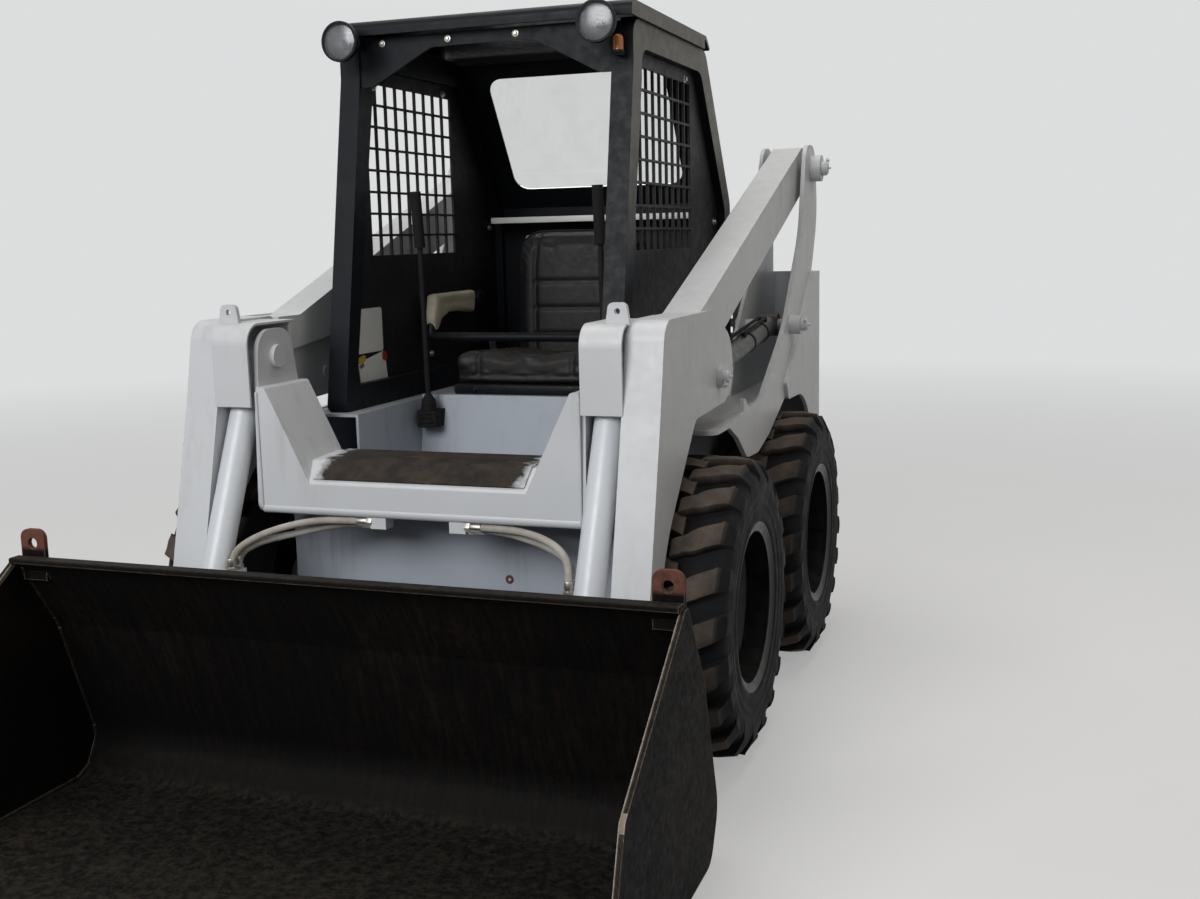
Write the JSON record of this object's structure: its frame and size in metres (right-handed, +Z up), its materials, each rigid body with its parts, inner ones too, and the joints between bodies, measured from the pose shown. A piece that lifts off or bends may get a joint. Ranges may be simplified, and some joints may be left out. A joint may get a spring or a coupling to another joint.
{
  "type": "skid steer loader",
  "caption": "Compact skid steer loader with curved rear uprights, lift arms, wide dirt bucket, caged cab with round lamps and treaded tyres.",
  "frame": {"origin": "on the floor under the middle of the whole machine, which is also under the front axle", "axes": "+X to the machine's left, +Y to its rear, +Z up"},
  "size_m": [1.66, 3, 1.938],
  "materials": {
    "white_paint": "worn gloss paint, dusty, rust at chips",
    "frame_paint": "blue-white paint, flat and dusty",
    "cab_black": "satin black paint, scuffed",
    "cab_side_grey": "taupe-grey paint, dusty",
    "bucket_steel": "worn black paint over brown scaled steel, polished edges",
    "edge_steel": "worn bright cutting steel with brown stain",
    "rubber_tyre": "dusty tread rubber",
    "rim_black": "satin black paint, dusty",
    "cylinder_grey": "dark grey paint, oily dust",
    "cylinder_white": "gloss paint",
    "rod_chrome": "polished",
    "tread_grit": "coarse anti-slip grit, brown dust",
    "hose_sleeve": "pale woven sleeve, oily",
    "lamp_glass": "clear ribbed lens over a bright reflector",
    "lens_amber": "amber and red lens",
    "window_glass": "clear, slightly dusty",
    "seat_vinyl": "black vinyl, dusty seams",
    "bar_pad": "cream foam skin on a black bar",
    "lever_black": "black rubber and plastic",
    "engine_iron": "oily painted casting"
  },
  "bodies": {
    "chassis": {"axle_tubes": "frame_paint", "main_frame": "frame_paint", "footwell_panel": "frame_paint", "upright_left": "white_paint", "upright_right": "white_paint", "cab_frame": "cab_black", "cab_roof": "cab_black", "cab_side_left": "cab_side_grey", "cab_side_right": "cab_side_grey", "cab_rear_panel": "cab_black", "rear_window": "window_glass", "work_lamps": "lamp_glass", "signal_lamps": "lens_amber", "seat_cushion": "seat_vinyl", "seat_back": "seat_vinyl", "control_levers": "lever_black", "engine_block": "engine_iron"},
    "lift_arm": {"lift_arm_left": "white_paint", "lift_arm_right": "white_paint", "crossmember": "white_paint", "step_tread": "tread_grit", "tilt_hoses_left": "hose_sleeve", "tilt_hoses_right": "hose_sleeve"},
    "bucket": {"quick_attach": "cab_black", "bucket": "bucket_steel", "cutting_edge": "edge_steel"},
    "engine_cover": {"engine_cover": "white_paint"},
    "tailgate": {"tailgate": "white_paint"},
    "seat_bar": {"seat_bar": "bar_pad"},
    "lift_barrel_left": {"lift_barrel_left": "cylinder_grey"},
    "lift_rod_left": {"lift_rod_left": "rod_chrome"},
    "tilt_barrel_left": {"tilt_barrel_left": "cylinder_white"},
    "tilt_rod_left": {"tilt_rod_left": "rod_chrome"},
    "lift_barrel_right": {"lift_barrel_right": "cylinder_grey"},
    "lift_rod_right": {"lift_rod_right": "rod_chrome"},
    "tilt_barrel_right": {"tilt_barrel_right": "cylinder_white"},
    "tilt_rod_right": {"tilt_rod_right": "rod_chrome"},
    "wheel_front_left": {"tyre_front_left": "rubber_tyre", "wheel_front_left": "rim_black"},
    "wheel_front_right": {"tyre_front_right": "rubber_tyre", "wheel_front_right": "rim_black"},
    "wheel_rear_left": {"tyre_rear_left": "rubber_tyre", "wheel_rear_left": "rim_black"},
    "wheel_rear_right": {"tyre_rear_right": "rubber_tyre", "wheel_rear_right": "rim_black"}
  },
  "joints": [
    {"name": "lift", "type": "hinge", "parent": "chassis", "child": "lift_arm", "pos_m": [0, 1.375, 1.555], "axis": [-1, 0, 0], "range_deg": [0, 68]},
    {"name": "tilt", "type": "hinge", "parent": "lift_arm", "child": "bucket", "pos_m": [0, -0.475, 0.187], "axis": [1, 0, 0], "range_deg": [-22, 92]},
    {"name": "lift_barrel_left_swing", "type": "hinge", "parent": "chassis", "child": "lift_barrel_left", "pos_m": [0.5975, 1.01, 1.045], "axis": [-1, 0, 0], "range_deg": [-1, 74.44]},
    {"name": "lift_rod_left_slide", "type": "slide", "parent": "lift_barrel_left", "child": "lift_rod_left", "axis": [0, -0.9956, -0.0937], "range_m": [-0.005, 0.634]},
    {"name": "tilt_barrel_left_swing", "type": "hinge", "parent": "lift_arm", "child": "tilt_barrel_left", "pos_m": [0.504, -0.262, 1.05], "axis": [1, 0, 0], "range_deg": [-3.26, 1.16], "deforming": ["tilt_hoses_left"]},
    {"name": "tilt_rod_left_slide", "type": "slide", "parent": "tilt_barrel_left", "child": "tilt_rod_left", "axis": [0, -0.4047, -0.9144], "range_m": [-0.0741, 0.294]},
    {"name": "lift_barrel_right_swing", "type": "hinge", "parent": "chassis", "child": "lift_barrel_right", "pos_m": [-0.5975, 1.01, 1.045], "axis": [-1, 0, 0], "range_deg": [-1, 74.44]},
    {"name": "lift_rod_right_slide", "type": "slide", "parent": "lift_barrel_right", "child": "lift_rod_right", "axis": [0, -0.9956, -0.0937], "range_m": [-0.005, 0.634]},
    {"name": "tilt_barrel_right_swing", "type": "hinge", "parent": "lift_arm", "child": "tilt_barrel_right", "pos_m": [-0.504, -0.262, 1.05], "axis": [1, 0, 0], "range_deg": [-3.26, 1.16], "deforming": ["tilt_hoses_right"]},
    {"name": "tilt_rod_right_slide", "type": "slide", "parent": "tilt_barrel_right", "child": "tilt_rod_right", "axis": [0, -0.4047, -0.9144], "range_m": [-0.0741, 0.294]},
    {"name": "wheel_front_left_spin", "type": "hinge", "parent": "chassis", "child": "wheel_front_left", "pos_m": [0.6555, 0, 0.3875], "axis": [1, 0, 0], "continuous": true},
    {"name": "wheel_front_right_spin", "type": "hinge", "parent": "chassis", "child": "wheel_front_right", "pos_m": [-0.6555, 0, 0.3875], "axis": [1, 0, 0], "continuous": true},
    {"name": "wheel_rear_left_spin", "type": "hinge", "parent": "chassis", "child": "wheel_rear_left", "pos_m": [0.6555, 0.902, 0.3875], "axis": [1, 0, 0], "continuous": true},
    {"name": "wheel_rear_right_spin", "type": "hinge", "parent": "chassis", "child": "wheel_rear_right", "pos_m": [-0.6555, 0.902, 0.3875], "axis": [1, 0, 0], "continuous": true},
    {"name": "engine_cover_hinge", "type": "hinge", "parent": "chassis", "child": "engine_cover", "pos_m": [0, 1.235, 1.255], "axis": [1, 0, 0], "range_deg": [0, 40]},
    {"name": "tailgate_hinge", "type": "hinge", "parent": "chassis", "child": "tailgate", "pos_m": [-0.574, 1.485, 0.78], "axis": [0, 0, 1], "range_deg": [0, 100]},
    {"name": "seat_bar_hinge", "type": "hinge", "parent": "chassis", "child": "seat_bar", "pos_m": [0, 0.79, 1.15], "axis": [-1, 0, 0], "range_deg": [0, 75]}
  ],
  "couplings": [
    {"joint": "lift_barrel_left_swing", "follows": "lift", "ratio": 1.08},
    {"joint": "lift_rod_left_slide", "follows": "lift", "m_per_rad": 0.53},
    {"joint": "tilt_barrel_left_swing", "follows": "tilt", "ratio": -0.03},
    {"joint": "tilt_rod_left_slide", "follows": "tilt", "m_per_rad": 0.18},
    {"joint": "lift_barrel_right_swing", "follows": "lift", "ratio": 1.08},
    {"joint": "lift_rod_right_slide", "follows": "lift", "m_per_rad": 0.53},
    {"joint": "tilt_barrel_right_swing", "follows": "tilt", "ratio": -0.03},
    {"joint": "tilt_rod_right_slide", "follows": "tilt", "m_per_rad": 0.18}
  ]
}
